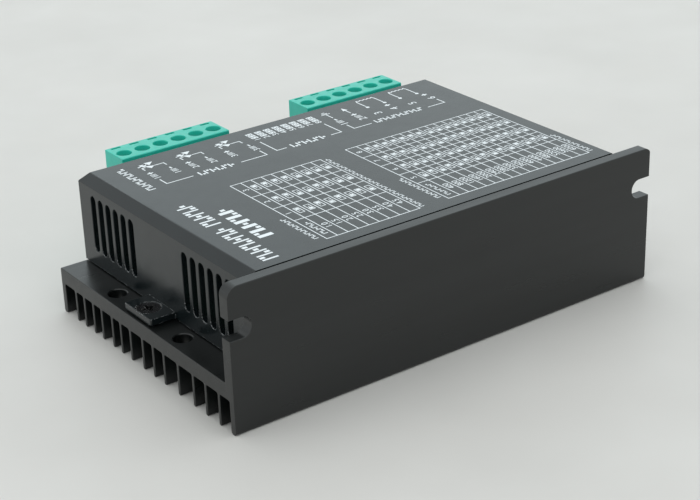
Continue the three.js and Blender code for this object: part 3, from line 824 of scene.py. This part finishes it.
def build_lamp():
    at = limits("status_lamp")
    face = at[Y][1]
    outline = disc(middle(at[X]), LAMP_HEIGHT, LAMP_RADIUS, 32)
    lens = loft("status_lamp_lens", Y, outline, [
        (LAMP_BACK, -0.1), (LAMP_BACK + 0.1, 0), (face - 1.0, 0), (face - 0.5, -0.2),
        (face - 0.2, -0.5), (face - 0.05, -0.9), (face, -1.25)])
    finished(lens, "lamp_lens", stands_for=["status_lamp"])
    holder = block("status_lamp_holder", at[X], (66, LAMP_BACK - 0.1), at[Z])
    finished(holder, "chip_epoxy")


# ---- printed legend: numbers and plain symbols only ----

INK = 0.03          # height above the surface
SUNK = 0.02         # depth below it
APART = 0.01        # between bars that would otherwise overlap
CAP_HEIGHT = 0.69   # of Blender's own font, against its size
glyphs = {}


def glyph(text):
    """A number's points, faces and rim edges, one unit high and centred, in Blender's own font."""
    if text not in glyphs:
        curve = bpy.data.curves.new("glyph", "FONT")
        curve.body = text
        curve.resolution_u = 3
        obj = bpy.data.objects.new("glyph", curve)
        scene.collection.objects.link(obj)
        graph = bpy.context.evaluated_depsgraph_get()
        mesh = bpy.data.meshes.new_from_object(obj.evaluated_get(graph), depsgraph=graph)
        work = bmesh.new()
        work.from_mesh(mesh)
        bmesh.ops.remove_doubles(work, verts=work.verts, dist=1e-5)
        bmesh.ops.dissolve_limit(work, angle_limit=0.001, verts=work.verts, edges=work.edges)
        bmesh.ops.triangulate(work, faces=work.faces)
        bmesh.ops.dissolve_degenerate(work, dist=1e-4, edges=work.edges)
        bmesh.ops.recalc_face_normals(work, faces=work.faces)
        if work.faces and sum(f.normal.z for f in work.faces) < 0:
            bmesh.ops.reverse_faces(work, faces=work.faces)
        points = [v.co.to_2d() for v in work.verts]
        work.verts.index_update()
        rim = []
        for edge in work.edges:
            if len(edge.link_faces) == 1:
                first, second = (vert.index for vert in edge.verts)
                forward = edge.link_loops[0].vert.index == first
                rim.append((first, second) if forward else (second, first))
        faces = [[v.index for v in f.verts] for f in work.faces]
        work.free()
        bpy.data.objects.remove(obj)
        bpy.data.curves.remove(curve)
        low = Vector((min(p.x for p in points), min(p.y for p in points)))
        high = Vector((max(p.x for p in points), max(p.y for p in points)))
        points = [(p - (low + high) / 2) / CAP_HEIGHT for p in points]
        glyphs[text] = points, faces, rim
    return glyphs[text]


def lettered(text, size, place):
    """A number as a thin closed solid; place turns (along, up, out) into module coordinates."""
    points, faces, edges = glyph(text)
    count = len(points)
    verts = [place(p.x * size, p.y * size, -SUNK) for p in points]
    verts += [place(p.x * size, p.y * size, INK) for p in points]
    solid = [face[::-1] for face in faces] + [[i + count for i in face] for face in faces]
    solid += [[a, b, b + count, a + count] for a, b in edges]
    corner = [Vector(place(*at)) for at in ((0, 0, 0), (1, 0, 0), (0, 1, 0), (0, 0, 1))]
    axes = Matrix([corner[k] - corner[0] for k in (1, 2, 3)])
    if axes.determinant() < 0:
        solid = [face[::-1] for face in solid]
    return verts, solid


class Legend:
    """Collects thin printed shapes on the cover's top."""

    def __init__(self):
        self.parts = []

    def patch(self, points):
        stations = [(HEIGHT - SUNK, 0), (HEIGHT + INK, 0)]
        self.parts.append(lofted(Z, [Vector(p) for p in points], stations))

    def bar(self, x, y):
        self.patch([(x[0], y[0]), (x[1], y[0]), (x[1], y[1]), (x[0], y[1])])

    def line(self, points, width=0.28):
        """An open line of even width, mitred at its corners."""
        points = [Vector(p) for p in points]
        left, right = [], []
        for i, here in enumerate(points):
            into = (here - points[i - 1]).normalized() if i else (points[1] - here).normalized()
            away = (points[i + 1] - here).normalized() if i < len(points) - 1 else into
            sides = Vector((into.y, -into.x)), Vector((away.y, -away.x))
            out = (sides[0] + sides[1]) * (width / 2 / (1 + sides[0].dot(sides[1])))
            left.append(here - out)
            right.append(here + out)
        self.patch(left + right[::-1])

    def frame(self, x, y, width=0.22):
        """An outlined oblong, as four bars that nearly meet at its corners."""
        self.bar(x, (y[0], y[0] + width))
        self.bar(x, (y[1] - width, y[1]))
        between = (y[0] + width + APART, y[1] - width - APART)
        self.bar((x[0], x[0] + width), between)
        self.bar((x[1] - width, x[1]), between)

    def dot(self, x, y, radius):
        self.patch(disc(x, y, radius, 14))

    def number(self, text, x, y, size, facing="y"):
        """A number that reads towards +Y, or towards -X where facing says so."""
        if facing == "y":
            self.parts.append(lettered(text, size, lambda u, v, w: (x - v, y + u, HEIGHT + w)))
        else:
            self.parts.append(lettered(text, size, lambda u, v, w: (x - u, y - v, HEIGHT + w)))

    def table(self, x_cuts, y_cuts, rule=0.22):
        """Ruled lines: whole ones along X, and the pieces between them along Y."""
        for y in y_cuts:
            self.bar((x_cuts[0] - rule / 2, x_cuts[-1] + rule / 2), around(y, rule))
        for low, high in zip(y_cuts[:-1], y_cuts[1:]):
            for x in x_cuts:
                self.bar(around(x, rule), (low + rule / 2 + APART, high - rule / 2 - APART))

    def state(self, x, y, on, size):
        """One table entry: a little switch, its slider at the far end for on."""
        side = 1 if on else -1
        self.frame(around(x, 0.92 * size), around(y, 1.9 * size), 0.2)
        start, end = sorted((y + side * 0.5 * size, y - side * 0.62 * size))
        self.bar(around(x, 0.18), (start + 0.3 * size, end - 0.3 * size))
        self.bar(around(x, 0.52 * size), around(y + side * 0.45 * size, 0.6 * size))

    def marks(self, across, along, count, stroke=0.24, axis=Y):
        """A row of plain bars and dots where the module carries a caption."""
        pitch = (along[1] - along[0]) / count
        height = across[1] - across[0]

        def put(low, high, start, end):
            sides = (across[0] + low * height, across[0] + high * height), (start, end)
            self.bar(*(sides if axis == Y else sides[::-1]))

        for i in range(count):
            at = along[0] + pitch * i
            gap = pitch - stroke
            foot = (0.0, 0.68, 0.34)[i % 3]
            put(0.0, 1.0, at, at + stroke)
            put(foot, foot + 0.32, at + stroke + 0.25 * gap, at + stroke + 0.75 * gap)


def evenly(low, high, count):
    return [low + (high - low) * i / count for i in range(count + 1)]


def setting_table(ink, rows, columns, first_switch, entries, entry_y, sizes):
    """A ruled table with a number and a row of switch symbols for each (text, code) entry."""
    ink.table(rows, columns)
    cells = [middle(pair) for pair in zip(columns[1:], columns[2:])]
    for k, y in enumerate(cells):
        ink.number(str(first_switch + k), middle(rows[:2]), y, 1.5)
    for row, (text, code) in enumerate(entries):
        x = middle(rows[row + 1:row + 3])
        ink.number(text, x, entry_y, sizes[0])
        for k, y in enumerate(cells):
            ink.state(x, y, not code >> k & 1, sizes[1])


def current_table(ink):
    entries = [(f"{1 + 0.5 * row:.1f}", row) for row in range(8)]
    columns = [6.9, 19.1, 27.4, 35.9, 44.6]
    setting_table(ink, evenly(29.5, 54.5, 9), columns, 1, entries, 13.0, (1.6, 1.6))
    ink.marks((30.3, 31.6), (9.3, 17.0), 6)


def pulse_table(ink):
    entries = [(str(400 * code), code) for code in range(1, 16)]
    columns = [7.1, 18.3, 25.0, 31.9, 38.9, 45.8]
    rows = [62.7] + evenly(65.9, 105.0, 15)
    setting_table(ink, rows, columns, 5, entries, 12.7, (1.5, 1.45))
    ink.marks((63.7, 64.8), (8.8, 17.0), 7)


def bracket(ink, ends, heights, breaks):
    """A brace under a row of captions, open in the middle."""
    top, bottom = heights
    ink.line([(ends[0], top), (ends[0], bottom), (breaks[0], bottom)])
    ink.line([(ends[1], top), (ends[1], bottom), (breaks[1], bottom)])


def signal_group(ink):
    """Three inputs with lamp symbols, and the numbers of their six terminals."""
    for centre in (22.4, 32.7, 43.6):
        left, right = centre - 2.9, centre + 2.9
        ink.line([(left, 65.6), (left, 67.1), (centre - 1.95, 67.1)])
        ink.line([(centre + 0.42, 67.1), (right, 67.1), (right, 65.6)])
        ink.patch([(centre - 1.9, 67.95), (centre - 0.9, 66.0), (centre + 0.4, 67.1)])
        for shift in (-1.7, 0.0):
            tail = Vector((centre + shift - 1.7, 68.7 + 0.35 * shift))
            ink.line([tail, tail + Vector((1.0, 0.3))], 0.34)
            ink.patch([tail + Vector(corner) for corner in ((0.72, 1.13), (1.32, -0.7), (2.9, 0.85))])
    for i, x in enumerate((19.5, 25.0, 29.8, 34.8, 40.5, 46.8)):
        ink.number(str(i // 2 + 1), x, 59.9, 1.7)
        for y in (60.8, 61.4, 62.0):
            ink.bar((x - 0.75, x + 0.75), (y, y + 0.25))
        ink.bar((x - 0.2, x + 0.2), (62.7, 63.9))
        if i % 2 == 0:
            ink.bar((x - 0.75, x - 0.22), (63.1, 63.5))
            ink.bar((x + 0.22, x + 0.75), (63.1, 63.5))
    bracket(ink, (19.3, 46.8), (58.6, 55.4), (26.4, 39.5))
    ink.marks((54.5, 56.6), (28.0, 37.8), 6, 0.42, X)


def setting_group(ink):
    """A number and three small frames for each switch."""
    for i in SWITCHES:
        x = 50.7 + 2.57 * (i - 1)
        ink.number(str(i), x, 65.3, 1.7)
        for low in (66.2, 67.5, 68.8):
            ink.frame((x - 0.9, x + 0.9), (low, low + 1.0), 0.3)
            ink.bar((x - 0.3, x + 0.3), (low + 0.35, low + 0.65))
    bracket(ink, (50.1, 69.1), (63.4, 56.1), (52.9, 66.0))
    ink.marks((55.2, 57.4), (54.4, 64.6), 6, 0.42, X)


def power_group(ink):
    """Earth and supply symbols, two windings, and the numbers of the six terminals."""
    ink.line([(73.2, 65.4), (73.2, 68.3)])
    for i, half in enumerate((1.3, 0.85, 0.4)):
        ink.bar((73.2 - half, 73.2 + half), (68.4 + 0.62 * i, 68.68 + 0.62 * i))
    ink.line([(78.7, 65.4), (78.7, 67.6)])
    ink.patch([(78.0, 67.65), (79.4, 67.65), (78.7, 69.6)])
    for left, right in ((84.4, 89.8), (94.8, 100.2)):
        wave = [(left, 66.5), (left, 70.4)]
        for i in range(9):
            wave.append((left + (right - left) * (i + 0.5) / 9, 70.4 + (0.5 if i % 2 else 0.9)))
        ink.line(wave + [(right, 70.4), (right, 66.5)], 0.3)
        for x in (left, right):
            ink.dot(x, 65.9, 0.5)
    for i, x in enumerate((73.0, 78.6, 83.9, 89.1, 94.8, 101.0)):
        ink.number(str(i + 1), x, 60.9 if i > 1 else 60.2, 2.2)
        if i < 2:
            for y in (61.3, 61.9, 62.5):
                ink.bar((x - 0.85, x + 0.85), (y, y + 0.25))
        if i != 2 and i != 4:
            ink.bar((x - 0.24, x + 0.24), (63.3, 64.5))
        if i % 2:
            ink.bar((x - 0.8, x - 0.25), (63.65, 64.1))
            ink.bar((x + 0.25, x + 0.8), (63.65, 64.1))
    bracket(ink, (72.9, 101.4), (59.2, 56.0), (78.2, 96.0))
    ink.marks((55.4, 57.3), (79.6, 94.6), 11, 0.36, X)


def captions(ink):
    """Plain marks where the module carries its title and small notes."""
    ink.marks((13.0, 16.9), (6.2, 26.2), 9, 0.55)
    ink.marks((13.0, 16.9), (28.4, 42.4), 6, 0.55)
    ink.marks((18.8, 22.4), (16.2, 34.8), 6, 1.25)
    ink.marks((27.3, 28.5), (8.4, 21.6), 13, 0.22)
    ink.marks((60.8, 62.0), (8.9, 23.3), 14, 0.22)
    ink.marks((105.7, 106.8), (7.7, 21.6), 13, 0.22)
    ink.marks((55.1, 56.2), (7.4, 44.0), 36, 0.2)
    ink.marks((13.9, 15.9), (54.4, 70.2), 11, 0.34)


def build_legend():
    ink = Legend()
    captions(ink)
    current_table(ink)
    pulse_table(ink)
    signal_group(ink)
    setting_group(ink)
    power_group(ink)
    finished(gathered("cover_print", ink.parts), "white_print")


# ---- assembly ----

build_sink()
build_cover()
for side in ("left", "right"):
    build_cover_screw(side)
for side in SIDES:
    build_plug(side)
    build_header(side)
    for i in POLES:
        build_wire_screw(side, i)
        carried(f"{side}_clamp_{i}", "zinc_steel", 0.05)
build_switch()
build_lamp()
build_legend()
for i in SWITCHES:
    carried(f"dip_slider_{i}", "switch_white", 0.08)
carried("main_board", "board_laminate", 0.05)
for i in range(1, 5):
    carried(f"board_spacer_{i}", "nylon", 0.1)
    carried(f"board_screw_{i}", "zinc_steel", 0.06)
    carried(f"half_bridge_{i}", "chip_epoxy", 0.08)
carried("microcontroller", "chip_epoxy", 0.08)
carried("thermal_pad", "silicone_pad", 0.08)
for i in (1, 2):
    carried(f"bulk_capacitor_{i}", "capacitor_sleeve", 0.3)


# ---- stage, light and camera ----


def build_floor():
    reach = 3.0
    z = CAD_BOX[0].z
    mesh = bpy.data.meshes.new("floor")
    corners = [(-reach, -reach, z), (reach, -reach, z), (reach, reach, z), (-reach, reach, z)]
    mesh.from_pydata(corners, [], [(0, 1, 2, 3)])
    floor = bpy.data.objects.new("floor", mesh)
    scene.collection.objects.link(floor)
    floor.data.materials.append(finish(
        "pale_floor", (0.65, 0.635, 0.61), (0.70, 0.685, 0.66), (0.45, 0.6), patch=60, bump=0.02,
        bump_size=3))


def area_light(name, at, size, power, colour):
    """A rectangular light aimed at the middle of the module."""
    data = bpy.data.lights.new(name, "AREA")
    data.shape = "RECTANGLE"
    data.size, data.size_y = size
    data.energy = power
    data.color = colour
    lamp = bpy.data.objects.new(name, data)
    scene.collection.objects.link(lamp)
    lamp.location = at
    lamp.rotation_mode = "QUATERNION"
    lamp.rotation_quaternion = (Vector((0, 0, 0.02)) - Vector(at)).to_track_quat("-Z", "Y")


def build_light():
    world = bpy.data.worlds.new("studio")
    world.use_nodes = True
    background = world.node_tree.nodes["Background"]
    background.inputs["Color"].default_value = (0.94, 0.99, 1.0, 1)
    background.inputs["Strength"].default_value = 0.86
    scene.world = world
    area_light("key", (0.05, 0.1, 1.3), (1.6, 1.6), 3.4, (1, 0.99, 0.97))
    area_light("window", (1.05, 1.5, 0.85), (2.0, 1.0), 2.4, (0.8, 1.0, 1.06))
    area_light("fill", (-0.4, -1.3, 0.9), (1.2, 1.2), 2.2, (1, 1, 0.98))
    area_light("rim", (-1.1, 0.5, 0.45), (0.5, 0.5), 0.8, (0.97, 0.98, 1))
    scene.view_settings.view_transform = "Standard"


def build_camera():
    azimuth, elevation, roll = (math.radians(a) for a in (35.483, 24.681, -1.939))
    ahead = Vector((
        math.sin(azimuth) * math.cos(elevation),
        math.cos(azimuth) * math.cos(elevation),
        -math.sin(elevation)))
    level = Vector((math.cos(azimuth), -math.sin(azimuth), 0))
    up = level.cross(ahead)
    across = level * math.cos(roll) + up * math.sin(roll)
    over = up * math.cos(roll) - level * math.sin(roll)
    data = bpy.data.cameras.new("camera")
    data.sensor_width = 36
    data.lens = 87.69
    camera = bpy.data.objects.new("camera", data)
    scene.collection.objects.link(camera)
    turn = Matrix((across, over, -ahead)).transposed().to_4x4()
    stand = Vector((-156.34, -262.02, 181.42))
    camera.matrix_world = Matrix.Translation(ORIGIN + stand * MM) @ turn
    data.clip_start, data.clip_end = 0.01, 20
    scene.camera = camera


build_floor()
build_light()
build_camera()
